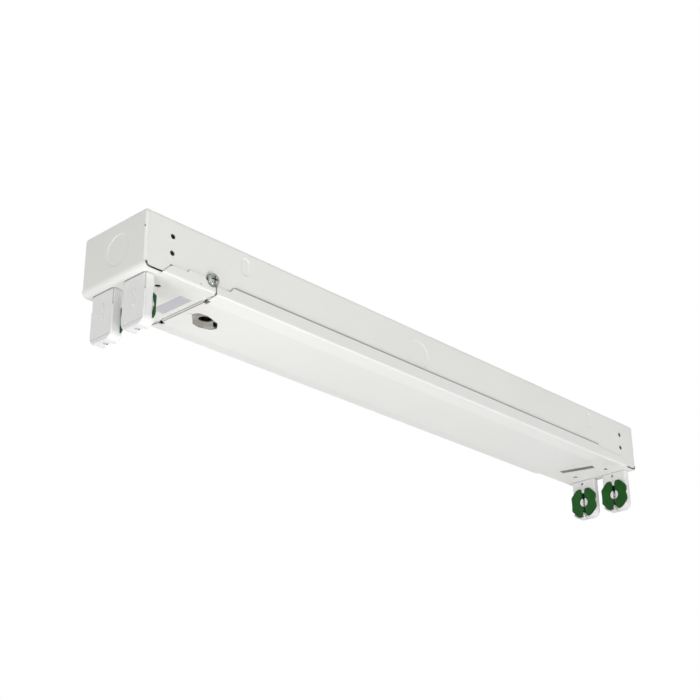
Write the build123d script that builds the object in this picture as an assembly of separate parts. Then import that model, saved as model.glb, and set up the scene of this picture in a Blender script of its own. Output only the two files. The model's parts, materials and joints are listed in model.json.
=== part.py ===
from build123d import *
import math
import os

# Two-lamp strip light. Origin at the middle of the ceiling face, X along the body, Z up.
# The left half (negative X) is drawn; the right half is the left one turned half round about Z.

# Lamps that it takes
lamp_length = 589.8
lamp_pitch = 36.0
lamp_drop = 23.4
lamp_end_play = 0.5
pin_pitch = 12.7
pin_dia = 2.35
pin_length = 7.1
pin_play = 0.65
pin_room = 0.2

# Rotor and collar: how far they stand out of the lampholder
collar_height = 1.3
rotor_gap = 0.1
rotor_plate = 0.6
rotor_proud = collar_height + rotor_gap + rotor_plate
running_fit = 0.05

# Lampholder, from its front to its back
barrel_depth = pin_length - lamp_end_play - rotor_proud + pin_room
ring_depth = 1.0
back_room = 0.8
cap_thickness = 1.0
holder_depth = barrel_depth + ring_depth + back_room + cap_thickness
holder_front = lamp_length / 2 + lamp_end_play + rotor_proud
pin_slot = pin_dia + pin_play

# Body
end_room = 6.0
side_room = 18.0
plate_drop = 47.0
sheet = 0.8
top_bend = 3.0
wall_gap = 1.6
overrun = 2.0
touch = 0.05

half_length = holder_front + holder_depth + end_room
half_width = lamp_pitch / 2 + side_room
wall_low = plate_drop - sheet - wall_gap
socket_z = -plate_drop
lamp_y = lamp_pitch / 2
lamp_z = socket_z - lamp_drop

# Channel: fixing holes, side holes and knockouts
mount_spacing = 406.4
mount_hole_r = 3.25
side_hole_inset = 24.5
side_hole_r = 2.1
side_hole_drops = (14.6, 28.0)
knockout_r = 13.0
knockout_slope = 1.2
knockout_depth = 0.6
knockout_drop_share = 0.49
top_knockout_x = 165.0
side_knockout_x = -18.7
slot_knockout_insets = (94.5, 77.5)
slot_knockout_drop = 13.4
slot_knockout_width = 8.4
slot_knockout_height = 15.6
slot_knockout_slope = 1.2

# End bracket: end plate, socket plate and outer flanges in one sheet
cap_depth = 3.0
cap_bend = 2.0
end_bend = 5.0
wall_corner_r = 2.0
plate_reach = 65.5
end_knockout_y = -4.0
corner_hole_r = 0.75
corner_hole_inset = 1.6
corner_hole_drop = 14.3
plate_hole_inset = 26.9
plate_hole_r = 2.3
flange_gap = 0.2
flange_bend = 2.6
flange_inset = 15.0
flange_rise = 9.0
ear_end_gap = 9.5
ear_length = 16.0
ear_rise = 2.0
ear_slope = 1.0
relief_r = 0.9
flange_dimple_gap = 14.5
flange_dimple_rise = 3.5
plate_pin_hole_gap = 2.7
plate_pin_hole_y = -1.6
plate_pin_hole_r = 0.9
dimple_r = 1.6
dimple_depth = 0.3
lap_reach = 1.9
lap_inset = 3.5

# Bracket screws
lug_r = 3.5
screw_rise = 10.5
screw_hole_r = 1.9
screw_shank_r = 1.8
screw_head_r = 5.25
screw_head_height = 2.6
screw_length = 7.0
recess_length = 5.6
recess_width = 1.1
recess_depth = 1.3

# Cover
cover_gap = 0.3
cover_clearance = 0.3
cover_half = half_length - plate_reach - cover_gap
cover_lip_rise = 12.2
cover_bend_fall = 0.6
cover_belly = 2.0
cover_lip_drop = plate_drop - cover_lip_rise
cover_bend_drop = plate_drop + cover_bend_fall
cover_drop = plate_drop + cover_belly
cover_flare = 1.5
crease_inset = 11.0
crease_y = half_width - crease_inset
cover_lip_y = half_width + cover_clearance + sheet
cover_bend_y = cover_lip_y + cover_flare
cover_bend = 1.2
lip_cut_rise = 6.5
lip_cut_drop = plate_drop - lip_cut_rise
lip_cut_length = 11.0
lip_cut_slope = 9.0
notch_inset = 10.25
notch_y = half_width - notch_inset
notch_width = 5.0
notch_length = 2.8
opening_inset = 21.5
opening_x = -cover_half + opening_inset
opening_y = 1.0
opening_length = 31.2
opening_width = 20.8
opening_shares = ((-0.494, -0.192), (-0.417, -0.442), (-0.144, -0.471), (0.304, -0.24),
                  (0.506, 0.168), (0.433, 0.409), (0.128, 0.529), (-0.096, 0.452))
opening_round = 3.0
cover_dimple_inset = 3.9
cover_dimple_x = -cover_half + cover_dimple_inset
cover_dimple_y = -3.0

# Bridge behind the opening
bridge_sheet = 1.0
bridge_length = 44.0
bridge_end_gap = 2.2
bridge_x = -cover_half + bridge_end_gap + bridge_length / 2
bridge_side_gap = 11.5
bridge_half_width = half_width - bridge_side_gap
bridge_foot = 8.4
bridge_drop = cover_drop - sheet - cover_gap
bridge_bend = 2.4
bridge_hole_x = -0.7
bridge_hole_y = -2.4
bridge_hole_length = 11.4
bridge_hole_width = 9.4
bridge_lobe_x = 4.2
bridge_lobe_y = -5.2
bridge_lobe_r = 1.3
bridge_slot_x = 11.0
bridge_slot_y = 0.0
bridge_slot_length = 10.0
bridge_slot_width = 3.0
bridge_slot_turn = 45.0
rivet_r = 1.6
rivet_head_r = 3.0
rivet_head_height = 0.9
rivet_inset = 8.0

# Lampholder
holder_width = 25.6
holder_bottom = 15.65
holder_corner_r = 6.5
holder_front_round = 0.5
holder_back_round = 0.8
collar_r = 13.5
collar_play = 0.15
guard_r = 16.3
foot_width = 22.0
foot_height = 8.0
foot_step = 2.0
foot_play = 0.2
slot_back_gap = 0.5
barb_width = 1.3
barb_height = 3.2
wall_front = 1.6
sight_hole_r = 1.5
sight_drop = 3.6
sight_y = -1.6
side_recess_width = 1.3
side_recess_drop = 13.0
boss_r = 3.9
boss_head_r = 4.4
boss_head_depth = 1.8
boss_recess = 0.4
bump_width = 2.8
bump_height = 5.0
bump_proud = 0.6
bump_round = 0.5
bump_lean = -12.0
bump_drop_shares = (0.30, 0.52)
bump_y = -0.6
back_line_rise = 3.6
back_line_width = 0.5
back_line_depth = 0.2

# Rotor
rotor_width = 28.4
rotor_height = 28.2
rotor_chamfer = 7.0
rotor_round = 3.5
rotor_waist = 0.3
rotor_waist_height = 11.0
rotor_hole_r = 5.0
rotor_notch_width = 6.0
rotor_notch_depth = 4.5
rotor_edge = 0.25
rotor_side_gap = 3.6
barrel_r = 10.0
barrel_wall = 1.8

# Contacts
contact_sheet = 0.4
contact_back_gap = 0.1
pin_gap = 0.175
contact_outer = (pin_pitch - pin_dia) / 2 - pin_gap
contact_width = 0.7
contact_inner = contact_outer - contact_width
contact_reach = 2.2
contact_tip = 1.2
bridge_strip = 4.0
contact_sink = 1.05
contact_top = socket_z - contact_sink
contact_room = 0.3

# Ballast
ballast_length = 240.0
ballast_width = 42.0
ballast_height = 28.0
ballast_wall = 0.7
base_thickness = 1.0
base_ear = 12.0
board_thickness = 1.6
board_drop = 6.0
board_play = 0.6
board_low = -sheet - base_thickness - board_drop - board_thickness
board_room = ballast_height + sheet - ballast_wall + board_low
stand_share = 0.8
ballast_bend = 2.0
vent_length = 14.0
vent_width = 2.0
vent_count = 7
vent_pitch = 22.0
terminal_length = 12.0
terminal_width = 26.0
terminal_height = 10.0
terminal_z = board_low - terminal_height / 2
coil_x_shares = (-0.258, -0.05, 0.167)
coil_sizes = ((18.0, 22.0), (22.0, 26.0), (18.0, 20.0))
coil_share = 0.8
coil_height = board_room * coil_share
coil_flange = 1.2
coil_inset = 2.0
capacitor_place_shares = ((-0.367, -0.214), (-0.367, 0.214), (0.292, -0.214), (0.358, 0.19))
capacitor_r = 6.3
capacitor_share = 0.85
capacitor_height = board_room * capacitor_share
ballast_screw_r = 1.8
ballast_screw_play = 0.1
ballast_screw_head_r = 4.2
ballast_screw_head_height = 1.8
ballast_screw_inset = 6.0

# Leads and joints between them
lead_r = 1.1
lead_hole_r = 1.3
lead_socket = 5.0
lead_straight = 13.0
lead_entry = 1.0
lead_reach = holder_front + holder_depth / 2
lead_y_shares = (-0.385, -0.135, 0.135, 0.385)
lead_ys = [share * terminal_width for share in lead_y_shares]
bend_share = 0.45
supply_straight = 9.0
connector_gap = 66.0
connector_x = ballast_length / 2 + connector_gap
connector_length = 20.0
connector_r = 5.2
connector_tip_r = 3.4
connector_bore_r = 1.5
connector_bore_depth = 9.0
connector_spot_shares = ((-0.178, -0.553), (0.183, -0.566))
connector_spots = [(y * half_width, z * plate_drop) for y, z in connector_spot_shares]
ground_gap = 30.0
ground_screw_x = ballast_length / 2 + ground_gap
ground_screw_y = -22.0
ground_ring_r = 3.6
ground_ring_thickness = 0.9

# Lead routes as shares: X from the ballast's end to the lampholder, Y of the body's half
# width, Z of the plate's drop
blue_front_shares = ((0.160, -0.317, 0.272), (0.309, -0.403, 0.223), (0.497, -0.514, 0.266),
                     (0.695, -0.439, 0.217), (0.861, -0.517, 0.268), (0.944, -0.490, 0.340),
                     (0.991, -0.497, 0.553))
blue_rear_shares = ((0.149, 0.328, 0.281), (0.298, 0.431, 0.245), (0.475, 0.506, 0.196),
                    (0.684, 0.450, 0.264), (0.855, 0.528, 0.221), (0.944, 0.506, 0.319),
                    (0.991, 0.502, 0.553))
red_front_shares = ((0.143, -0.328, 0.336), (0.276, -0.456, 0.383), (0.442, -0.522, 0.306),
                    (0.651, -0.444, 0.255), (0.850, -0.522, 0.277), (0.944, -0.490, 0.349),
                    (0.991, -0.497, 0.553))
red_rear_shares = ((0.143, 0.339, 0.328), (0.287, 0.494, 0.340), (0.464, 0.556, 0.264),
                   (0.662, 0.472, 0.226), (0.850, 0.528, 0.255), (0.944, 0.506, 0.332),
                   (0.991, 0.502, 0.553))
supply_shares = ((0.348, 1.2, 0.362), (0.576, 1.6, 0.468))
supply_end_share = 0.803

# Labels
label_end_gap = 5.9
label_length = 10.8
label_width = 32.0
label_shift = -1.0
label_thickness = 0.15
right_label_length = 7.0
right_label_width = 33.5
right_label_gap = 22.6
right_label_y = 3.0
right_label_turn = 14.5

# Rounded heads
rivet_dome_share = 0.6
pan_round_share = 0.7


def slab(x0, x1, y0, y1, z0, z1):
    """Block between two corners."""
    return Pos((x0 + x1) / 2, (y0 + y1) / 2, (z0 + z1) / 2) * Box(x1 - x0, y1 - y0, z1 - z0)


def rod_x(radius, x0, x1, y, z):
    """Round bar along X."""
    return Pos((x0 + x1) / 2, y, z) * Rot(0, 90, 0) * Cylinder(radius, x1 - x0)


def rod_y(radius, y0, y1, x, z):
    """Round bar along Y."""
    return Pos(x, (y0 + y1) / 2, z) * Rot(90, 0, 0) * Cylinder(radius, y1 - y0)


def rod_z(radius, z0, z1, x, y):
    """Round bar along Z."""
    return Pos(x, y, (z0 + z1) / 2) * Cylinder(radius, z1 - z0)


def turned(shape):
    """The same piece for the other end of the fixture."""
    return Rot(0, 0, 180) * shape


def cross(a, b):
    return a[0] * b[1] - a[1] * b[0]


def unit(a, b):
    length = math.hypot(b[0] - a[0], b[1] - a[1])
    return ((b[0] - a[0]) / length, (b[1] - a[1]) / length)


def beside(points, distance):
    """The points moved sideways, to the right of the travel, with mitred corners."""
    result = []
    last = len(points) - 1
    for i, point in enumerate(points):
        before = unit(points[max(i - 1, 0)], points[max(i, 1)])
        after = unit(points[min(i, last - 1)], points[min(i + 1, last)])
        share = distance / (1 + before[0] * after[0] + before[1] * after[1])
        result.append((point[0] + (before[1] + after[1]) * share,
                       point[1] - (before[0] + after[0]) * share))
    return result


def bent_sheet(points, thickness, outer_bend):
    """Face of a sheet folded along a line, with its thickness to the right of the travel."""
    line_bends = []
    other_bends = []
    for i in range(1, len(points) - 1):
        turn = cross(unit(points[i - 1], points[i]), unit(points[i], points[i + 1]))
        bends = (outer_bend, outer_bend - thickness)
        line_bends.append(bends[0] if turn < 0 else bends[1])
        other_bends.append(bends[1] if turn < 0 else bends[0])
    line = FilletPolyline(*points, radius=line_bends)
    other = FilletPolyline(*beside(points, thickness), radius=other_bends)
    edges = list(line.edges()) + list(other.edges())
    edges.append(Line(line @ 0, other @ 0))
    edges.append(Line(line @ 1, other @ 1))
    return make_face(edges)


def along_x(face, x0, x1):
    """A face drawn in Y and Z, drawn out along X."""
    return extrude(Plane.YZ.offset(x0) * face, x1 - x0)


def across_y(face, y0, y1):
    """A face drawn in X and Z, drawn out along Y."""
    return extrude(Plane.XZ.offset(-y1) * face, y1 - y0)


def sunk(outline, inner, depth):
    """Shallow pressed-in field between an outline and the smaller one at its bottom."""
    return loft([Pos(0, 0, 0) * outline, Pos(0, 0, -depth) * inner], ruled=True)


def knockout():
    """Round knockout, pressed in with a sloping edge, seen along its own Z."""
    return sunk(Circle(knockout_r), Circle(knockout_r - knockout_slope), knockout_depth)


def slot_knockout():
    """Upright oval knockout, pressed in the same way."""
    outer = Rot(0, 0, 90) * SlotOverall(slot_knockout_height, slot_knockout_width)
    inner = Rot(0, 0, 90) * SlotOverall(slot_knockout_height - 2 * slot_knockout_slope,
                                        slot_knockout_width - 2 * slot_knockout_slope)
    return sunk(outer, inner, knockout_depth)


# Channel
def side_features(channel):
    """Holes and knockouts of the front wall; the rear wall gets the same, turned half round."""
    front = Plane.XZ.offset(half_width)
    drop = plate_drop * knockout_drop_share
    cutters = front * Pos(side_knockout_x, -drop) * knockout()
    for x in (-half_length + slot_knockout_insets[0], half_length - slot_knockout_insets[1]):
        cutters += front * Pos(x, -slot_knockout_drop) * slot_knockout()
    for drop in side_hole_drops:
        for side in (-1, 1):
            x = side * (half_length - side_hole_inset)
            cutters += rod_y(side_hole_r, -half_width - overrun, -half_width + overrun, x, -drop)
    return channel - cutters - turned(cutters)


def make_channel():
    reach = half_length - cap_depth
    section = bent_sheet([(-half_width, -wall_low), (-half_width, 0), (half_width, 0),
                          (half_width, -wall_low)], sheet, top_bend)
    channel = along_x(section, -reach, reach)
    corners = channel.edges().filter_by(Axis.Y).group_by(Axis.Z)[0]
    channel = fillet(corners, wall_corner_r)
    for side in (-1, 1):
        channel -= rod_z(mount_hole_r, -sheet - overrun, overrun, side * mount_spacing / 2, 0)
    channel -= Pos(top_knockout_x, 0, 0) * knockout()
    return side_features(channel)


# End bracket
def flange_outline(with_ear):
    """Outline of an outer flange in X and Z, from its sloping start to the plate's inner end."""
    x0 = -half_length + flange_inset
    x_end = -half_length + plate_reach
    top = socket_z + flange_rise
    low = socket_z - overrun
    points = [(x0, low), (x0, socket_z), (x0 + flange_rise, top)]
    if with_ear:
        ear = x_end - ear_end_gap
        points += [(ear - ear_length - ear_slope, top), (ear - ear_length, top + ear_rise)]
        points += [(ear - ear_slope, top + ear_rise), (ear, top)]
    points += [(x_end, top), (x_end, low)]
    face = make_face(Polyline(*points, close=True))
    if with_ear:
        x = x_end - lug_r
        z = socket_z + screw_rise
        face += Pos(x, z) * Circle(lug_r)
        face += Pos(x, (z + socket_z) / 2) * Rectangle(2 * lug_r, z - socket_z)
    return face


def flange(with_ear):
    """Front outer flange with the strip of plate that carries it."""
    y = -half_width - flange_gap - sheet
    high = socket_z + flange_rise + screw_rise
    section = bent_sheet([(y + half_width / 2, socket_z), (y, socket_z), (y, high)],
                         sheet, flange_bend)
    x0 = -half_length + flange_inset
    bar = along_x(section, x0, -half_length + plate_reach)
    outline = across_y(flange_outline(with_ear), y - overrun, overrun)
    return bar & outline


def plate_lap():
    """Edge of the socket plate: a tab behind the cover's end and a lip down to its inner face."""
    x_end = -half_length + plate_reach
    reach = half_width - lap_inset
    high = socket_z + sheet
    lap = slab(x_end - touch, x_end + lap_reach, -reach, reach, socket_z, high)
    slope = (cover_drop - cover_bend_drop) / (cover_bend_y - crease_y)
    low = -cover_drop + sheet
    side_low = low + slope * (reach - crease_y)
    lip = make_face(Polyline((-reach, high), (-reach, side_low), (-crease_y, low),
                             (crease_y, low), (reach, side_low), (reach, high), close=True))
    lap += along_x(lip, x_end - sheet, x_end)
    for y in (-notch_y, notch_y):
        lap -= slab(x_end - sheet - touch, x_end + lap_reach + overrun, y - notch_width / 2,
                    y + notch_width / 2, -cover_drop - overrun, socket_z)
        lap -= slab(x_end, x_end + lap_reach + overrun, y - notch_width / 2,
                    y + notch_width / 2, socket_z - touch, high + overrun)
    return lap


def end_cap():
    """End plate with its short folded returns at the top and both sides."""
    x0 = -half_length
    x1 = -half_length + cap_depth
    block = slab(x0, x1, -half_width, half_width, -plate_drop, 0)
    block = fillet(block.edges().filter_by(Axis.X).group_by(Axis.Z)[-1], top_bend)
    block = fillet(block.faces().sort_by(Axis.X)[0].edges().group_by(Axis.Z)[1:], cap_bend)
    return block


def make_end_bracket():
    x0 = -half_length
    x_end = x0 + plate_reach
    profile = bent_sheet([(x_end, socket_z), (x0, socket_z), (x0, -plate_drop / 2)],
                         sheet, end_bend)
    bracket = across_y(profile, -half_width, half_width)
    side_low = socket_z + end_bend
    cap = end_cap() & slab(x0 - overrun, x0 + cap_depth, -half_width, half_width, side_low, 0)
    room = Pos(sheet, 0, -sheet) * end_cap()
    room = room & slab(x0, x0 + cap_depth + overrun, -half_width + sheet, half_width - sheet,
                       -plate_drop, -sheet)
    bracket = (bracket - slab(x0 - overrun, x0 + end_bend, -half_width, half_width,
                              side_low, 0)) + (cap - room)
    rear = mirror(flange(False), about=Plane.XZ)
    bracket = bracket + flange(True) + rear + plate_lap()
    return bracket


def bracket_cuts():
    """Everything cut out of the left end bracket."""
    x0 = -half_length
    front_x = -holder_front
    y_face = -half_width - flange_gap - sheet
    cuts = []
    for y in (-lamp_y, lamp_y):
        half_foot = foot_width / 2 + foot_play
        back = front_x - holder_depth - slot_back_gap
        cuts.append(slab(back, front_x - foot_step + foot_play, y - half_foot, y + half_foot,
                         socket_z - overrun, socket_z + sheet + overrun))
        cuts.append(rod_z(plate_hole_r, socket_z - overrun, socket_z + sheet + overrun,
                          x0 + plate_hole_inset, y))
    cuts.append(rod_y(screw_hole_r, y_face - overrun, -half_width + touch,
                      x0 + plate_reach - lug_r, socket_z + screw_rise))
    cuts.append(rod_y(dimple_r / 2, y_face - overrun, y_face + dimple_depth,
                      x0 + plate_reach - flange_dimple_gap, socket_z + flange_dimple_rise))
    cuts.append(rod_x(corner_hole_r, x0 - overrun, x0 + cap_depth + overrun,
                      -half_width + corner_hole_inset, -corner_hole_drop))
    for side in (-1, 1):
        far = side * -y_face
        cuts.append(rod_y(relief_r, min(far, side * half_width) - touch,
                          max(far, side * half_width) + touch,
                          x0 + flange_inset + flange_rise, socket_z + flange_rise))
    drop = plate_drop * knockout_drop_share
    outside = Plane(origin=(x0, 0, 0), x_dir=(0, 1, 0), z_dir=(-1, 0, 0))
    cuts.append(outside * Pos(end_knockout_y, drop) * knockout())
    return cuts


# Cover
def lip_cut():
    """What the front left lip gives up to clear the screw head, with an easy curve at its end."""
    x0 = -cover_half - overrun
    x1 = -cover_half + lip_cut_length
    x2 = x1 + lip_cut_slope
    top = -cover_lip_drop + overrun
    mid = (x1 + x2) / 2
    curve = Spline((x1, -lip_cut_drop), (mid, -(lip_cut_drop + cover_lip_drop) / 2),
                   (x2, -cover_lip_drop), tangents=[(1, 0), (1, 0)])
    edges = [Line((x0, -lip_cut_drop), (x1, -lip_cut_drop)), curve,
             Line((x2, -cover_lip_drop), (x2, top)), Line((x2, top), (x0, top)),
             Line((x0, top), (x0, -lip_cut_drop))]
    y = -half_width - cover_clearance - cover_flare - overrun
    return across_y(make_face(edges), y - overrun, -half_width + overrun)


def make_cover():
    section = bent_sheet([(cover_lip_y, -cover_lip_drop), (cover_bend_y, -cover_bend_drop),
                          (crease_y, -cover_drop), (-crease_y, -cover_drop),
                          (-cover_bend_y, -cover_bend_drop), (-cover_lip_y, -cover_lip_drop)],
                         sheet, cover_bend)
    cover = along_x(section, -cover_half, cover_half)
    for cut in (lip_cut(), turned(lip_cut())):
        cover -= cut
    low = -cover_drop - overrun
    high = -cover_bend_drop + overrun
    for y in (-notch_y, notch_y):
        cover -= slab(-cover_half - notch_length, -cover_half + notch_length,
                      y - notch_width / 2, y + notch_width / 2, low, high)
    corners = [(x * opening_length, y * opening_width) for x, y in opening_shares]
    opening = make_face(Polyline(*corners, close=True))
    opening = Pos(opening_x, opening_y) * fillet(opening.vertices(), opening_round)
    cover -= Pos(0, 0, low) * extrude(opening, high - low)
    cover -= rod_z(dimple_r, low, -cover_drop + dimple_depth, cover_dimple_x, cover_dimple_y)
    return cover


# Bridge
def make_bridge():
    foot = bridge_half_width + bridge_foot
    low = -bridge_drop + bridge_sheet
    section = bent_sheet([(-foot, -sheet), (-bridge_half_width, -sheet),
                          (-bridge_half_width, low), (bridge_half_width, low),
                          (bridge_half_width, -sheet), (foot, -sheet)],
                         bridge_sheet, bridge_bend)
    x0 = bridge_x - bridge_length / 2
    bridge = along_x(section, x0, x0 + bridge_length)
    holes = Pos(bridge_hole_x, bridge_hole_y) * SlotOverall(bridge_hole_length,
                                                            bridge_hole_width)
    holes += Pos(bridge_lobe_x, bridge_lobe_y) * Circle(bridge_lobe_r)
    turned_slot = Rot(0, 0, bridge_slot_turn) * Rectangle(bridge_slot_length, bridge_slot_width)
    holes += Pos(bridge_slot_x, bridge_slot_y) * turned_slot
    holes = Pos(opening_x, opening_y, -bridge_drop - overrun) * holes
    bridge -= extrude(holes, bridge_sheet + 2 * overrun)
    for x, y in rivet_places():
        bridge -= rod_z(rivet_r, -sheet - bridge_sheet - overrun, -sheet + overrun, x, y)
    return bridge


def rivet_places():
    """Centres of the bridge's four rivets."""
    reach = bridge_length / 2 - rivet_inset
    y = bridge_half_width + bridge_bend + rivet_head_r
    return [(bridge_x + sx * reach, sy * y) for sx in (-1, 1) for sy in (-1, 1)]


def make_rivets():
    rivets = []
    for x, y in rivet_places():
        low = -sheet - bridge_sheet
        head = rod_z(rivet_head_r, low - rivet_head_height, low, x, y)
        head = fillet(head.edges().group_by(Axis.Z)[0], rivet_head_height * rivet_dome_share)
        rivets.append(head + rod_z(rivet_r, low, -sheet, x, y))
    return rivets


# Lampholder
def holder_shape(x0, x1, top):
    """Upright plate about y = 0 with its two lower corners rounded."""
    low = lamp_z - holder_bottom
    plate = slab(x0, x1, -holder_width / 2, holder_width / 2, low, top)
    return fillet(plate.edges().filter_by(Axis.X).group_by(Axis.Z)[0], holder_corner_r)


def make_holder():
    """Lampholder body with its foot and collar, for a lamp axis at y = 0."""
    back = -holder_front - holder_depth + cap_thickness
    front = -holder_front
    body = holder_shape(back, front, socket_z)
    body = fillet(body.faces().sort_by(Axis.X)[-1].edges().group_by(Axis.Z)[:-1],
                  holder_front_round)
    outline = holder_shape(front - touch, front + collar_height, socket_z)
    body += rod_x(collar_r, front - touch, front + collar_height, 0, lamp_z) & outline
    guard_back = front - holder_front_round - touch
    guards = holder_shape(guard_back, front + rotor_proud, socket_z)
    guards &= slab(guard_back, front + rotor_proud, -holder_width, holder_width,
                   lamp_z - holder_width, lamp_z)
    body += guards - rod_x(guard_r, guard_back - overrun, front + rotor_proud + overrun, 0,
                           lamp_z)
    foot_front = front - foot_step
    foot_top = socket_z + foot_height
    body += slab(back, foot_front, -foot_width / 2, foot_width / 2, socket_z, foot_top)
    barb_low = socket_z + sheet + foot_play
    for side in (-1, 1):
        edge = side * foot_width / 2
        points = [(edge, barb_low), (edge + side * barb_width, barb_low),
                  (edge, barb_low + barb_height)]
        body += along_x(make_face(Polyline(*points, close=True)), back, foot_front)
    body -= rod_x(barrel_r + running_fit, back - overrun, front + overrun, 0, lamp_z)
    body -= slab(front - barrel_depth, front + overrun, -pin_slot / 2, pin_slot / 2,
                 lamp_z - holder_bottom - overrun, lamp_z)
    top = contact_top + contact_room
    body -= slab(back - overrun, back + contact_sheet + contact_back_gap + contact_room,
                 -contact_outer - contact_room, contact_outer + contact_room, lamp_z, top)
    body -= slab(back, front - wall_front, -bridge_strip / 2, bridge_strip / 2,
                 contact_top - bridge_strip, top)
    body -= rod_x(sight_hole_r, front - wall_front - touch, front + overrun, sight_y,
                  socket_z - sight_drop)
    body -= rod_z(lead_hole_r, contact_top, foot_top + overrun, -lead_reach, 0)
    return body


def make_holder_cap():
    """Back of the lampholder with the fixed centre post between the rotor's halves."""
    back = -holder_front - holder_depth
    inside = back + cap_thickness
    cap = holder_shape(back, inside, socket_z - touch)
    cap = fillet(cap.faces().sort_by(Axis.X)[0].edges().group_by(Axis.Z)[:-1],
                 holder_back_round)
    for side in (-1, 1):
        edge = side * holder_width / 2
        inner = edge - side * side_recess_width
        cap -= slab(back - overrun, inside + overrun, min(inner, edge + side * touch),
                    max(inner, edge + side * touch), socket_z - side_recess_drop, socket_z)
    post_end = -holder_front + rotor_proud - boss_recess
    cap += rod_x(boss_r, inside, post_end, 0, lamp_z)
    cap += rod_x(boss_head_r, post_end - boss_head_depth, post_end, 0, lamp_z)
    cap -= slab(-holder_front - barrel_depth, post_end + overrun, -pin_slot / 2, pin_slot / 2,
                lamp_z - boss_head_r - overrun, lamp_z + boss_head_r + overrun)
    for share in bump_drop_shares:
        place = Pos(bump_y, socket_z - share * (holder_bottom + lamp_drop))
        spot = Plane.YZ.offset(back) * place * Rot(0, 0, 90 + bump_lean)
        bump = extrude(spot * SlotOverall(bump_height, bump_width), bump_proud, both=True)
        cap += fillet(bump.faces().sort_by(Axis.X)[0].edges(), bump_round)
    low = lamp_z - holder_bottom + back_line_rise
    cap -= slab(back - overrun, back + back_line_depth, -holder_width / 2, holder_width / 2,
                low, low + back_line_width)
    return cap


def rotor_outline():
    """Outline of the rotor about its axis: an octagon with slightly hollow sides."""
    face = Rectangle(rotor_width, rotor_height)
    face = chamfer(face.vertices(), rotor_chamfer)
    face = fillet(face.vertices(), rotor_round)
    chord = rotor_waist_height / 2
    waist_r = (chord ** 2 + rotor_waist ** 2) / (2 * rotor_waist)
    for side in (-1, 1):
        face -= Pos(side * (rotor_width / 2 - rotor_waist + waist_r), 0) * Circle(waist_r)
    face -= Circle(rotor_hole_r)
    face -= Rectangle(pin_slot, rotor_height + overrun)
    for side in (-1, 1):
        tip = side * (rotor_height / 2 - rotor_notch_depth)
        edge = side * (rotor_height / 2 + touch)
        points = [(0, tip), (rotor_notch_width / 2, edge), (-rotor_notch_width / 2, edge)]
        face -= make_face(Polyline(*points, close=True))
    return face


def make_rotor():
    """Rotor at rest: its slit stands upright for the lamp pins to slide in."""
    front = -holder_front + rotor_proud
    back = -holder_front + rotor_gap
    outline = Pos(0, lamp_z) * rotor_outline()
    plate = along_x(outline, front - rotor_plate, front)
    plate = chamfer(plate.faces().sort_by(Axis.X)[-1].edges(), rotor_edge)
    plate += along_x(outline, front - rotor_plate - touch, front - rotor_plate)
    ears = along_x(outline - Pos(0, lamp_z) * Circle(collar_r + collar_play), back,
                   front - rotor_plate)
    ears -= slab(back, front, -rotor_width, rotor_width, lamp_z - rotor_side_gap / 2,
                 lamp_z + rotor_side_gap / 2)
    barrel_end = -holder_front - barrel_depth
    ring = Pos(0, lamp_z) * (Circle(barrel_r) - Circle(barrel_r - barrel_wall))
    barrel = along_x(ring, barrel_end, front - rotor_plate)
    barrel -= slab(barrel_end, front, -pin_slot / 2, pin_slot / 2,
                   lamp_z - barrel_r - overrun, lamp_z + barrel_r + overrun)
    back_ring = along_x(ring, barrel_end - ring_depth, barrel_end)
    return plate + ears + barrel + back_ring


def make_contacts():
    """One folded strip: it joins both pins' contacts and takes the lead at its top."""
    back = -holder_front - holder_depth + cap_thickness + contact_back_gap
    strip = slab(back, back + contact_sheet, -contact_outer, contact_outer,
                 contact_top - bridge_strip, contact_top)
    strip += slab(back, -holder_front - wall_front - contact_room, -bridge_strip / 2 + touch,
                  bridge_strip / 2 - touch, contact_top - contact_sheet, contact_top)
    for side in (-1, 1):
        y0 = min(side * contact_inner, side * contact_outer)
        y1 = max(side * contact_inner, side * contact_outer)
        strip += slab(back, back + contact_sheet, y0, y1, lamp_z - contact_reach, contact_top)
        leaf = side * (contact_outer - contact_sheet)
        strip += slab(back, -holder_front - contact_tip, min(leaf, side * contact_outer),
                      max(leaf, side * contact_outer), lamp_z - contact_reach,
                      lamp_z + contact_reach)
    return strip


# Ballast
def make_ballast_case():
    top = -sheet - base_thickness
    low = -sheet - ballast_height
    block = slab(-ballast_length / 2, ballast_length / 2, -ballast_width / 2,
                 ballast_width / 2, low, top)
    block = fillet(block.edges().group_by(Axis.Z)[0], ballast_bend)
    inner = slab(-ballast_length / 2 + ballast_wall, ballast_length / 2 - ballast_wall,
                 -ballast_width / 2 + ballast_wall, ballast_width / 2 - ballast_wall,
                 low + ballast_wall, top + overrun)
    inner = fillet(inner.edges().group_by(Axis.Z)[0], ballast_bend - ballast_wall)
    case = block - inner
    for side in (-1, 1):
        x = side * ballast_length / 2
        case -= slab(x - terminal_length / 2, x + terminal_length / 2, -terminal_width / 2,
                     terminal_width / 2, board_low - terminal_height, board_low)
    for i in range(vent_count):
        x = (i - (vent_count - 1) / 2) * vent_pitch
        case -= slab(x - vent_length / 2, x + vent_length / 2, -vent_width / 2,
                     vent_width / 2, low - overrun, low + ballast_wall + overrun / 2)
    return case


def make_ballast_base():
    reach = ballast_length / 2 + base_ear
    base = slab(-reach, reach, -ballast_width / 2, ballast_width / 2,
                -sheet - base_thickness, -sheet)
    base = fillet(base.edges().filter_by(Axis.Z), ballast_bend)
    for side in (-1, 1):
        base -= rod_z(ballast_screw_r + ballast_screw_play, -sheet - base_thickness - overrun,
                      0, side * (ballast_length / 2 + ballast_screw_inset), 0)
    return base


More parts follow.
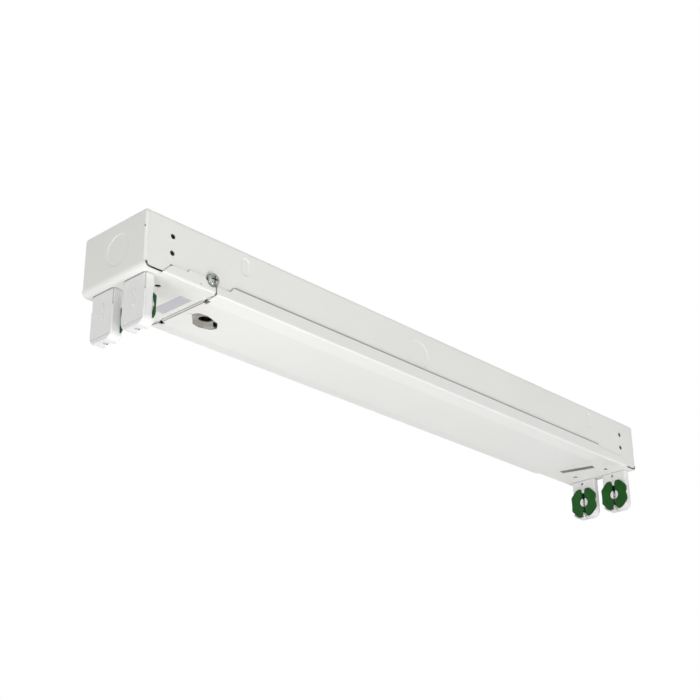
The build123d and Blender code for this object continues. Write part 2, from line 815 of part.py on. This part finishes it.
def make_ballast_screws():
    screws = []
    low = -sheet - base_thickness
    for side in (-1, 1):
        x = side * (ballast_length / 2 + ballast_screw_inset)
        head = rod_z(ballast_screw_head_r, low - ballast_screw_head_height, low, x, 0)
        screws.append(head + rod_z(ballast_screw_r, low, -sheet, x, 0))
    return screws


def make_ballast_board():
    reach = ballast_length / 2 - ballast_wall - board_play
    side = ballast_width / 2 - ballast_wall
    board = slab(-reach, reach, -side, side, board_low, board_low + board_thickness)
    stand = (board_low + board_thickness, -sheet - base_thickness)
    for x in (-reach * stand_share, reach * stand_share):
        for y in (-side * stand_share, side * stand_share):
            board += rod_z(ballast_screw_r, stand[0], stand[1], x, y)
    return board


def make_coils():
    """Wound inductors under the board: two flanges and a winding each."""
    coils = []
    for share, (length, width) in zip(coil_x_shares, coil_sizes):
        x = share * ballast_length
        low = board_low - coil_height
        coil = slab(x - length / 2, x + length / 2, -width / 2, width / 2,
                    board_low - coil_flange, board_low)
        coil += slab(x - length / 2, x + length / 2, -width / 2, width / 2, low,
                     low + coil_flange)
        winding = slab(x - length / 2 + coil_inset, x + length / 2 - coil_inset,
                       -width / 2 + coil_inset, width / 2 - coil_inset, low, board_low)
        coils.append(coil + fillet(winding.edges().filter_by(Axis.Z), coil_inset))
    return coils


def make_capacitors():
    cans = []
    for x_share, y_share in capacitor_place_shares:
        x = x_share * ballast_length
        y = y_share * ballast_width
        can = rod_z(capacitor_r, board_low - capacitor_height, board_low, x, y)
        cans.append(fillet(can.edges().group_by(Axis.Z)[0], coil_flange))
    return cans


def make_terminals():
    blocks = []
    for side in (-1, 1):
        x = side * (ballast_length / 2 - terminal_length / 2)
        block = slab(x - terminal_length / 2, x + terminal_length / 2,
                     -terminal_width / 2 + foot_play, terminal_width / 2 - foot_play,
                     board_low - terminal_height + foot_play, board_low)
        for y in lead_ys:
            end = side * ballast_length / 2
            block -= rod_x(lead_hole_r, end - lead_socket, end + lead_socket, y, terminal_z)
        blocks.append(block)
    return blocks


# Screws
def pan_screw(x, y_face, z):
    """Pan-head screw through a front flange, its head out towards negative Y."""
    head = rod_y(screw_head_r, y_face - screw_head_height, y_face, x, z)
    head = fillet(head.edges().group_by(Axis.Y)[0], screw_head_height * pan_round_share)
    out = y_face - screw_head_height
    for turn in (0, 90):
        bar = Pos(x, out, z) * Rot(0, turn, 0) * Box(recess_length, 2 * recess_depth,
                                                     recess_width)
        head -= bar
    return head + rod_y(screw_shank_r, y_face, y_face + screw_length, x, z)


# Leads
def arc_radii(points):
    """Bend radius at each inner point of a lead's route, as large as its runs allow."""
    radii = []
    for a, b, c in zip(points, points[1:], points[2:]):
        into = Vector(*b) - Vector(*a)
        out = Vector(*c) - Vector(*b)
        half_turn = math.radians(into.get_angle(out)) / 2
        shorter = min(into.length, out.length)
        radii.append(bend_share * shorter / math.tan(half_turn))
    return radii


def make_lead(name, points):
    radii = arc_radii(points)
    print(name, "bend radii:", ", ".join("%.1f" % r for r in radii))
    path = FilletPolyline(*points, radius=radii)
    section = Plane(path @ 0, z_dir=path % 0) * Circle(lead_r)
    lead = sweep(section, path)
    expected = math.pi * lead_r ** 2 * path.length
    print(name, "volume share of section times length: %.4f" % (lead.volume / expected))
    return lead


def lamp_lead(name, side, row, spots):
    """Lead from a terminal, along a table of shares, down into a lampholder's foot."""
    start_y = lead_ys[0] if row < 0 else lead_ys[-1]
    end = ballast_length / 2
    points = [(side * (end - lead_socket), start_y, terminal_z),
              (side * (end + lead_straight), start_y, terminal_z)]
    for x_share, y_share, z_share in spots:
        points.append((side * (end + x_share * (lead_reach - end)), y_share * half_width,
                       -z_share * plate_drop))
    x = side * lead_reach
    points.append((x, row * lamp_y, socket_z + foot_height + lead_entry))
    points.append((x, row * lamp_y, contact_top))
    return make_lead(name, points)


def supply_lead(name, start_y, spot):
    """Supply lead from its terminal into its twist-on connector."""
    end = ballast_length / 2
    points = [(end - lead_socket, start_y, terminal_z),
              (end + supply_straight, start_y, terminal_z)]
    for x_share, y_share, z_share in supply_shares:
        points.append((end + x_share * (connector_x - end), start_y * y_share,
                       -z_share * plate_drop))
    points.append((end + supply_end_share * (connector_x - end), *spot))
    points.append((connector_x + connector_bore_depth, *spot))
    return make_lead(name, points)


def make_connector(spot):
    """Twist-on connector with its open end towards the ballast."""
    cone = Pos(connector_x + connector_length / 2, *spot) * Rot(0, 90, 0)
    cone = cone * Cone(connector_r, connector_tip_r, connector_length)
    return cone - rod_x(connector_bore_r, connector_x - overrun,
                        connector_x + connector_bore_depth, *spot)


print("lamp seat to seat:", 2 * (holder_front - rotor_proud), "lamp axis z:", lamp_z)
print("half length:", half_length, "half width:", half_width, "holder depth:", holder_depth)

# Assemble the nodes
nodes = {}
nodes["channel"] = make_channel()
bracket_left = make_end_bracket()
for cut in bracket_cuts():
    bracket_left -= cut
nodes["end_bracket_left"] = bracket_left
pin_hole = rod_z(plate_pin_hole_r, socket_z - overrun, socket_z + 2 * sheet + overrun,
                 half_length - plate_reach + plate_pin_hole_gap, plate_pin_hole_y)
nodes["end_bracket_right"] = turned(bracket_left) - pin_hole

flange_face = -half_width - flange_gap - sheet
screw_x = -half_length + plate_reach - lug_r
screw_left = pan_screw(screw_x, flange_face, socket_z + screw_rise)
nodes["bracket_screws"] = [screw_left, turned(screw_left)]
for radius, x, rise in ((screw_hole_r, screw_x, screw_rise),
                        (relief_r, -half_length + flange_inset + flange_rise, flange_rise)):
    hole = rod_y(radius, flange_face - overrun, -half_width + overrun, x, socket_z + rise)
    nodes["channel"] = nodes["channel"] - hole - turned(hole)

nodes["cover"] = make_cover()
nodes["cover_bridge"] = make_bridge()
nodes["bridge_rivets"] = make_rivets()


def label(length, width, x, y, turn):
    """Foil patch on a socket plate, with the middle of its +X side at x and y."""
    foil = slab(-length, 0, -width / 2, width / 2, socket_z - label_thickness, socket_z)
    return Pos(x, y, 0) * Rot(0, 0, turn) * foil


label_x = half_length - plate_reach
nodes["label_left"] = label(label_length, label_width, -label_x - label_end_gap, label_shift, 0)
nodes["label_right"] = label(right_label_length, right_label_width, label_x + right_label_gap,
                             right_label_y, right_label_turn)

pieces = {"holder": make_holder(), "holder_cap": make_holder_cap(),
          "rotor": make_rotor(), "contacts": make_contacts()}
for name, piece in pieces.items():
    for row, y in (("front", -lamp_y), ("rear", lamp_y)):
        nodes[name + "_left_" + row] = Pos(0, y, 0) * piece
        nodes[name + "_right_" + row] = Pos(0, y, 0) * turned(piece)

nodes["ballast_case"] = make_ballast_case()
nodes["ballast_base"] = make_ballast_base()
nodes["ballast_board"] = make_ballast_board()
nodes["ballast_coils"] = make_coils()
nodes["ballast_capacitors"] = make_capacitors()
nodes["ballast_terminals"] = make_terminals()
nodes["ballast_screws"] = make_ballast_screws()

nodes["leads_blue"] = [lamp_lead("blue front", -1, -1, blue_front_shares),
                       lamp_lead("blue rear", -1, 1, blue_rear_shares)]
nodes["leads_red"] = [lamp_lead("red front", 1, -1, red_front_shares),
                      lamp_lead("red rear", 1, 1, red_rear_shares)]

# Supply side: connectors beside the ceiling knockout, and the ground screw
nodes["lead_black"] = supply_lead("lead_black", lead_ys[1], connector_spots[0])
nodes["lead_white"] = supply_lead("lead_white", lead_ys[2], connector_spots[1])
nodes["wire_connectors"] = [make_connector(spot) for spot in connector_spots]

low = -sheet - ground_ring_thickness
ring = rod_z(ground_ring_r, low, -sheet, ground_screw_x, ground_screw_y)
ring -= rod_z(ballast_screw_r, low - overrun, 0, ground_screw_x, ground_screw_y)
nodes["ground_ring"] = ring
head = rod_z(ballast_screw_head_r, low - ballast_screw_head_height, low, ground_screw_x,
             ground_screw_y)
nodes["ground_screw"] = head + rod_z(ballast_screw_r, low, -sheet, ground_screw_x,
                                     ground_screw_y)

os.makedirs("parts", exist_ok=True)
for name, shape in nodes.items():
    solids = []
    for item in shape if isinstance(shape, list) else [shape]:
        solids += item.solids()
    export_step(Compound(children=solids) if len(solids) > 1 else solids[0],
                "parts/" + name + ".step")
print(len(nodes), "nodes")
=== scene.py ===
import json
import math

import bpy
from mathutils import Matrix, Vector

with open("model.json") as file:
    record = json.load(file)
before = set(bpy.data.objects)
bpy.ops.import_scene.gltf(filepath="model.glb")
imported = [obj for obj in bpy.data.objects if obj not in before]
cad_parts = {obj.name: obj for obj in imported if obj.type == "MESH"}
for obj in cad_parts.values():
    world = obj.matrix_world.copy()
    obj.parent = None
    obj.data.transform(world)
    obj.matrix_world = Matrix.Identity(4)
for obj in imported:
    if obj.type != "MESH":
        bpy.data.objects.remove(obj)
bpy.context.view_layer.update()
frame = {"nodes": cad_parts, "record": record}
nodes = frame["nodes"]

# Camera: place in metres, lens and sensor in millimetres
camera_place = Vector((-0.83307, -0.72116, -0.48732))
camera_azimuth = math.radians(-46.818)
camera_elevation = math.radians(-23.813)
camera_roll = math.radians(-0.509)
camera_lens = 70.839
camera_sensor = 36.0
camera_far = 100


def make_camera():
    """The photograph's viewpoint, from below and in front of the left end."""
    flat = math.cos(camera_elevation)
    back = Vector((math.sin(camera_azimuth) * flat, -math.cos(camera_azimuth) * flat,
                   math.sin(camera_elevation)))
    right = (-back).cross(Vector((0, 0, 1))).normalized()
    up = right.cross(-back)
    side = math.cos(camera_roll) * right + math.sin(camera_roll) * up
    top = math.cos(camera_roll) * up - math.sin(camera_roll) * right
    data = bpy.data.cameras.new("camera")
    data.lens = camera_lens
    data.sensor_width = camera_sensor
    data.sensor_height = camera_sensor
    data.sensor_fit = "HORIZONTAL"
    data.clip_end = camera_far
    camera = bpy.data.objects.new("camera", data)
    bpy.context.scene.collection.objects.link(camera)
    turn = Matrix((side, top, back)).transposed().to_4x4()
    camera.matrix_world = Matrix.Translation(camera_place) @ turn
    bpy.context.scene.camera = camera


# World, floor and lamps
white = (1, 1, 1, 1)
backdrop_strength = 1.0
ambient_strength = 0.36
floor_z = -1.25
floor_reach = 6.0
floor_colour = (0.9, 0.9, 0.9, 1)
floor_roughness = 0.9

# Each square lamp: place, aim, side in metres, power in watts
lamps = {
    "front": ((-0.9, -2.2, -0.2), (-0.15, 0, 0), 1.6, 12.5),
    "lower_front": ((-0.05, -1.35, -1.1), (-0.05, 0, -0.03), 0.5, 8.4),
    "below": ((-0.1, -0.1, -1.15), (-0.1, 0, 0), 1.6, 5),
    "lower_left": ((-0.85, -0.1, -0.5), (-0.3, 0, -0.03), 0.4, 2.1),
    "above": ((0.5, 0.6, 2.2), (0, 0, 0), 1.8, 5),
}


def add_node(tree, kind, values=None, links=None):
    """A new node; values are set on its inputs, and links are the sockets that feed them."""
    made = tree.nodes.new(kind)
    for key, value in (values or {}).items():
        made.inputs[key].default_value = value
    for key, source in (links or {}).items():
        tree.links.new(source, made.inputs[key])
    return made


def start_material(name):
    """A new material, its node tree and its shader."""
    material = bpy.data.materials.new(name)
    material.use_nodes = True
    tree = material.node_tree
    return material, tree, tree.nodes["Principled BSDF"]


def make_world():
    """An even light on the fixture, and plain white where the camera or gloss sees it."""
    world = bpy.data.worlds.new("studio")
    bpy.context.scene.world = world
    world.use_nodes = True
    tree = world.node_tree
    tree.nodes.clear()
    output = add_node(tree, "ShaderNodeOutputWorld")
    seen = add_node(tree, "ShaderNodeBackground", {"Color": white, "Strength": backdrop_strength})
    lit = add_node(tree, "ShaderNodeBackground", {"Color": white, "Strength": ambient_strength})
    path = add_node(tree, "ShaderNodeLightPath")
    share = path.outputs["Is Camera Ray"]
    for ray in ("Is Transmission Ray", "Is Glossy Ray"):
        either = add_node(tree, "ShaderNodeMath", links={0: share, 1: path.outputs[ray]})
        either.operation = "MAXIMUM"
        share = either.outputs[0]
    mix = add_node(tree, "ShaderNodeMixShader",
                   links={0: share, 1: lit.outputs[0], 2: seen.outputs[0]})
    tree.links.new(mix.outputs[0], output.inputs[0])


def make_floor():
    """Pale studio floor, well below the hanging fixture."""
    mesh = bpy.data.meshes.new("floor")
    corners = [(-floor_reach, -floor_reach, floor_z), (floor_reach, -floor_reach, floor_z),
               (floor_reach, floor_reach, floor_z), (-floor_reach, floor_reach, floor_z)]
    mesh.from_pydata(corners, [], [(0, 1, 2, 3)])
    floor = bpy.data.objects.new("floor", mesh)
    bpy.context.scene.collection.objects.link(floor)
    material, _, shader = start_material("floor")
    shader.inputs["Base Color"].default_value = floor_colour
    shader.inputs["Roughness"].default_value = floor_roughness
    mesh.materials.append(material)


def make_lamps():
    """The studio's soft square lamps, which the camera doesn't see."""
    for name, (place, aim, side, power) in lamps.items():
        data = bpy.data.lights.new(name, "AREA")
        data.shape = "SQUARE"
        data.size = side
        data.energy = power
        lamp = bpy.data.objects.new(name, data)
        bpy.context.scene.collection.objects.link(lamp)
        lamp.location = place
        direction = Vector(aim) - Vector(place)
        lamp.rotation_euler = direction.to_track_quat("-Z", "Y").to_euler()
        lamp.visible_camera = False


# Materials: lengths in metres, texture scales per metre
painted_shade_samples = 8
edge_samples = 6
noise_span = (0.3, 0.7)
edge_radius = 0.0002

mottle_scale = 9
mottle_span = (0.35, 0.65)
gloss_scale = 22
peel_scale = 620
peel_distance = 0.0002
enamel_specular = 0.4
thin_paint_radius = 0.0005
thin_paint_share = 0.9
grit_scale = 95
grit_colour = (0.55, 0.54, 0.5)
# Painted shade in seams, folds and gaps between parts of the enamel
seam_reach = 0.0022
seam_shade = (0.28, 0.28, 0.27)
# Painted shadow along the upper edge of the cover's lips, in place of the shadow each lip casts
# on the wall
lip_shadow_low = -0.0363
lip_shadow_high = -0.036
lip_shadow_colour = (0.36, 0.36, 0.34)

flow_scale = 90
flow_rough_share = 0.15
# Painted shade along moulded edges, when an edge colour is given
edge_shade_radius = 0.0005
moulded_edge_radius = 0.0003
# Painted shade in the corners of moulded plastic
plastic_reach = 0.002
plastic_shade_share = 0.6
grain_distance = 0.0001
subsurface_radius = (0.002, 0.0018, 0.0016)

# Painted shade on the right half of a metal, blended in over this width
right_end_shade_blend = 0.05
# Painted shade in the hollows of metal parts
metal_reach = 0.0016
metal_shade_share = 0.2
marks_distance = 0.00005

crystal_scale = 180
crystal_colours = ((0.52, 0.5, 0.46), (0.63, 0.61, 0.565))
crystal_rough = (0.38, 0.6)
zinc_grain_scale = 900
zinc_metallic = 0.85


def ramp(tree, source, low, high, first, last):
    """Maps source between low and high onto first to last."""
    made = add_node(tree, "ShaderNodeMapRange",
                    {"From Min": low, "From Max": high, "To Min": first, "To Max": last},
                    {"Value": source})
    return made.outputs["Result"]


def colour_mix(tree, factor, first, second):
    """First colour where the factor is 0, second where it is 1; each is a tuple or a socket."""
    mix = tree.nodes.new("ShaderNodeMix")
    mix.data_type = "RGBA"
    tree.links.new(factor, [s for s in mix.inputs if s.type == "VALUE"][0])
    sockets = [s for s in mix.inputs if s.type == "RGBA"]
    for socket, colour in zip(sockets, (first, second)):
        if isinstance(colour, tuple):
            socket.default_value = (*colour, 1)
        else:
            tree.links.new(colour, socket)
    return [s for s in mix.outputs if s.type == "RGBA"][0]


def darker(colour, share):
    """A colour at a share of its brightness."""
    return tuple(share * part for part in colour)


def coordinates(tree, stretch=(1, 1, 1)):
    """Places on the part; a larger stretch makes a pattern finer along that axis."""
    place = add_node(tree, "ShaderNodeTexCoord")
    mapping = add_node(tree, "ShaderNodeMapping", {"Scale": stretch},
                       {"Vector": place.outputs["Object"]})
    return mapping.outputs["Vector"]


def along(tree, vector, axis):
    """One axis of a vector."""
    axes = add_node(tree, "ShaderNodeSeparateXYZ", links={"Vector": vector})
    return axes.outputs[axis]


def noise(tree, vector, scale, detail=3.0, roughness=0.5):
    """Soft irregular variation between 0 and 1."""
    made = add_node(tree, "ShaderNodeTexNoise",
                    {"Scale": scale, "Detail": detail, "Roughness": roughness},
                    {"Vector": vector})
    return made.outputs["Fac"]


def cells(tree, vector, scale):
    """Irregular cells, by the distance from their middles or by a colour for each."""
    return add_node(tree, "ShaderNodeTexVoronoi", {"Scale": scale}, {"Vector": vector})


def rounded_normal(tree, radius):
    """The surface's direction, turned along the edges as if they were rounded."""
    made = add_node(tree, "ShaderNodeBevel", {"Radius": radius})
    made.samples = edge_samples
    return made.outputs["Normal"]


def painted_crevice_shade(tree, colour, shade, reach, open_share=0.9, closed_share=0.5):
    """Painted shade: darkens a colour in seams and folds, where less than the open share is free,
    standing in for the shade that falls there.
    """
    found = add_node(tree, "ShaderNodeAmbientOcclusion", {"Distance": reach})
    found.samples = painted_shade_samples
    factor = ramp(tree, found.outputs["AO"], closed_share, open_share, 0, 1)
    return colour_mix(tree, factor, shade, colour)


def edges(tree, radius, least, most, top=1.0):
    """A mask along the sharp edges: top on an edge, 0 on an open face."""
    plain = add_node(tree, "ShaderNodeNewGeometry")
    product = add_node(tree, "ShaderNodeVectorMath",
                       links={0: rounded_normal(tree, radius), 1: plain.outputs["Normal"]})
    product.operation = "DOT_PRODUCT"
    return ramp(tree, product.outputs["Value"], most, least, 0, top)


def specks(tree, vector, scale, size, top):
    """Sparse small spots, such as dust and grit under paint."""
    distance = cells(tree, vector, scale).outputs["Distance"]
    return ramp(tree, distance, size, size / 2, 0, top)


def bump(tree, shader, height, strength, distance, radius=edge_radius):
    """Bump on top of slightly rounded edges."""
    made = add_node(tree, "ShaderNodeBump", {"Strength": strength, "Distance": distance},
                    {"Height": height, "Normal": rounded_normal(tree, radius)})
    tree.links.new(made.outputs["Normal"], shader.inputs["Normal"])


def painted_lip_shadow(tree, vector, colour):
    """Painted shadow: a dark line along the upper edge of the cover's side lips, standing in for
    the shadow each lip casts on the wall above it.
    """
    height = ramp(tree, along(tree, vector, "Z"), lip_shadow_low, lip_shadow_high, 0, 1)
    return colour_mix(tree, height, colour, lip_shadow_colour)


def enamel(name, pale, shaded, rough, with_lip_shadow=False):
    """Baked white enamel: faint mottling, orange peel, thin paint on edges, painted shade in
    seams, and optionally a painted shadow line along the cover lips.
    """
    material, tree, shader = start_material(name)
    vector = coordinates(tree)
    mottle = noise(tree, vector, mottle_scale, detail=4)
    colour = colour_mix(tree, ramp(tree, mottle, *mottle_span, 0, 1), pale, shaded)
    thin = edges(tree, thin_paint_radius, least=0.86, most=0.985, top=0.35)
    colour = colour_mix(tree, thin, colour, darker(shaded, thin_paint_share))
    # Painted shadow line along the upper edge of the cover's side lips
    if with_lip_shadow:
        colour = painted_lip_shadow(tree, vector, colour)
    grit = specks(tree, vector, grit_scale, size=0.06, top=0.3)
    colour = colour_mix(tree, grit, colour, grit_colour)
    # Painted shade where seams, folds and neighbouring parts close in
    colour = painted_crevice_shade(tree, colour, seam_shade, seam_reach, open_share=0.8, closed_share=0.28)
    tree.links.new(colour, shader.inputs["Base Color"])
    gloss = noise(tree, vector, gloss_scale)
    tree.links.new(ramp(tree, gloss, *noise_span, *rough), shader.inputs["Roughness"])
    peel = noise(tree, vector, peel_scale, detail=2, roughness=0.4)
    bump(tree, shader, peel, strength=0.05, distance=peel_distance)
    shader.inputs["Specular IOR Level"].default_value = enamel_specular
    return material


def plastic(name, base, other, roughness, grain_scale, grain_strength, subsurface=0.0,
            specular=0.5, edge=None):
    """Moulded plastic with a fine grain, slight flow marks and painted shade in its corners; a
    given edge colour is painted shade along its sharp edges.
    """
    material, tree, shader = start_material(name)
    vector = coordinates(tree)
    flow = noise(tree, vector, flow_scale)
    colour = colour_mix(tree, ramp(tree, flow, *noise_span, 0, 1), base, other)
    # Painted shade: darker along the sharp edges, standing in for the shading of the rotor's
    # bevelled rims
    if edge:
        edge_shade = edges(tree, edge_shade_radius, least=0.82, most=0.98)
        colour = colour_mix(tree, edge_shade, colour, edge)
    # Painted shade in the corners and between parts
    shade = darker(base, plastic_shade_share)
    colour = painted_crevice_shade(tree, colour, shade, plastic_reach, closed_share=0.3)
    tree.links.new(colour, shader.inputs["Base Color"])
    shader.inputs["Specular IOR Level"].default_value = specular
    low, high = roughness * (1 - flow_rough_share), roughness * (1 + flow_rough_share)
    tree.links.new(ramp(tree, flow, *noise_span, low, high), shader.inputs["Roughness"])
    grain = noise(tree, vector, grain_scale, detail=2)
    bump(tree, shader, grain, grain_strength, grain_distance, moulded_edge_radius)
    if subsurface > 0:
        shader.inputs["Subsurface Weight"].default_value = subsurface
        shader.inputs["Subsurface Radius"].default_value = subsurface_radius
        shader.inputs["Subsurface Scale"].default_value = 1.0
    return material


def metal(name, base, other, rough, scale, stretch=(1, 1, 1), right_end_shade=None):
    """Plain or plated metal with drawn marks and painted shade in its hollows; a colour given for
    the right half is painted shade there.
    """
    material, tree, shader = start_material(name)
    shader.inputs["Metallic"].default_value = 1.0
    marks = noise(tree, coordinates(tree, stretch), scale, detail=4, roughness=0.6)
    colour = colour_mix(tree, ramp(tree, marks, *noise_span, 0, 1), base, other)
    # Painted shade: a darker colour on the right half, for the label that reflects less light at
    # the right end
    if right_end_shade:
        across = along(tree, coordinates(tree), "X")
        right = ramp(tree, across, -right_end_shade_blend, right_end_shade_blend, 0, 1)
        colour = colour_mix(tree, right, colour, right_end_shade)
    # Painted shade in seams and hollows
    colour = painted_crevice_shade(tree, colour, darker(base, metal_shade_share), metal_reach)
    tree.links.new(colour, shader.inputs["Base Color"])
    tree.links.new(ramp(tree, marks, *noise_span, *rough), shader.inputs["Roughness"])
    bump(tree, shader, marks, strength=0.15, distance=marks_distance)
    return material


def galvanised(name):
    """Zinc-coated steel with its large matt crystals."""
    material, tree, shader = start_material(name)
    shader.inputs["Metallic"].default_value = zinc_metallic
    vector = coordinates(tree)
    crystals = cells(tree, vector, crystal_scale)
    separate = add_node(tree, "ShaderNodeSeparateColor",
                        links={"Color": crystals.outputs["Color"]})
    shade = separate.outputs["Red"]
    tree.links.new(colour_mix(tree, shade, *crystal_colours), shader.inputs["Base Color"])
    tree.links.new(ramp(tree, shade, 0, 1, *crystal_rough), shader.inputs["Roughness"])
    grain = noise(tree, vector, zinc_grain_scale, roughness=0.6)
    bump(tree, shader, grain, strength=0.2, distance=grain_distance)
    return material


# The finish of each slot; rough is the lowest and the highest roughness
enamels = {
    "white_enamel": {
        "pale": (0.875, 0.875, 0.845), "shaded": (0.845, 0.845, 0.815), "rough": (0.3, 0.38)},
    "cover_enamel": {
        "pale": (0.885, 0.885, 0.862), "shaded": (0.865, 0.865, 0.842), "rough": (0.29, 0.35),
        # painted shadow line along the lips' upper edge
        "with_lip_shadow": True},
    "ballast_can": {
        "pale": (0.8, 0.8, 0.79), "shaded": (0.76, 0.76, 0.75), "rough": (0.3, 0.45)},
}
metals = {
    "zinc_screw": {
        "base": (0.46, 0.49, 0.46), "other": (0.2, 0.22, 0.2), "rough": (0.2, 0.36),
        "scale": 420},
    "rivet_aluminium": {
        "base": (0.8, 0.8, 0.8), "other": (0.65, 0.65, 0.65), "rough": (0.3, 0.45),
        "scale": 500},
    # painted shade on the label at the right end
    "foil_label": {
        "base": (0.97, 0.97, 1), "other": (0.9, 0.9, 0.97), "rough": (0.45, 0.6),
        "scale": 40, "stretch": (4, 60, 1), "right_end_shade": (0.45, 0.46, 0.47)},
    "contact_brass": {
        "base": (0.75, 0.5, 0.22), "other": (0.55, 0.34, 0.14), "rough": (0.25, 0.45),
        "scale": 60, "stretch": (1, 1, 20)},
    "ring_tin": {
        "base": (0.75, 0.75, 0.73), "other": (0.6, 0.6, 0.58), "rough": (0.25, 0.4),
        "scale": 600},
}
plastics = {
    "holder_plastic": {
        "base": (0.86, 0.86, 0.85), "other": (0.83, 0.83, 0.82), "roughness": 0.34,
        "grain_scale": 700, "grain_strength": 0.1, "subsurface": 0.15},
    "rotor_plastic": {
        "base": (0.006, 0.078, 0.008), "other": (0.011, 0.1, 0.011), "roughness": 0.34,
        "grain_scale": 800, "grain_strength": 0.15, "specular": 0.2,
        # painted shade along the rotor's edges
        "edge": (0.004, 0.035, 0.012)},
    "circuit_board": {
        "base": (0.1, 0.2, 0.06), "other": (0.14, 0.26, 0.08), "roughness": 0.45,
        "grain_scale": 900, "grain_strength": 0.2},
    "coil_varnish": {
        "base": (0.35, 0.12, 0.03), "other": (0.45, 0.2, 0.05), "roughness": 0.35,
        "grain_scale": 900, "grain_strength": 0.5},
    "capacitor_sleeve": {
        "base": (0.02, 0.025, 0.05), "other": (0.03, 0.03, 0.07), "roughness": 0.25,
        "grain_scale": 700, "grain_strength": 0.1},
    "terminal_plastic": {
        "base": (0.75, 0.75, 0.72), "other": (0.7, 0.7, 0.67), "roughness": 0.5,
        "grain_scale": 700, "grain_strength": 0.2},
    "lead_blue": {
        "base": (0.01, 0.05, 0.4), "other": (0.015, 0.07, 0.5), "roughness": 0.4,
        "grain_scale": 900, "grain_strength": 0.2},
    "lead_red": {
        "base": (0.5, 0.01, 0.01), "other": (0.6, 0.02, 0.015), "roughness": 0.4,
        "grain_scale": 900, "grain_strength": 0.2},
    "lead_black": {
        "base": (0.01, 0.01, 0.01), "other": (0.02, 0.02, 0.02), "roughness": 0.4,
        "grain_scale": 900, "grain_strength": 0.2},
    "lead_white": {
        "base": (0.8, 0.8, 0.78), "other": (0.74, 0.74, 0.72), "roughness": 0.4,
        "grain_scale": 900, "grain_strength": 0.2},
    "connector_plastic": {
        "base": (0.7, 0.22, 0.01), "other": (0.78, 0.28, 0.02), "roughness": 0.4,
        "grain_scale": 500, "grain_strength": 0.3},
    "ground_green": {
        "base": (0.02, 0.2, 0.05), "other": (0.03, 0.26, 0.07), "roughness": 0.3,
        "grain_scale": 700, "grain_strength": 0.2},
}


def make_materials():
    """One material for each slot."""
    made = {"galvanised": galvanised("galvanised")}
    for kind, looks in ((enamel, enamels), (metal, metals), (plastic, plastics)):
        for name, look in looks.items():
            made[name] = kind(name, **look)
    return made


def dress_nodes():
    """Gives every CAD node the finish of its slot in the record."""
    materials = make_materials()
    slots = {entry["node"]: entry["material_slot"] for entry in frame["record"]["subparts"]}
    for name, piece in nodes.items():
        piece.data.materials.clear()
        piece.data.materials.append(materials[slots[name]])


make_camera()
make_world()
make_floor()
make_lamps()
dress_nodes()

bpy.context.scene.view_settings.view_transform = "Standard"
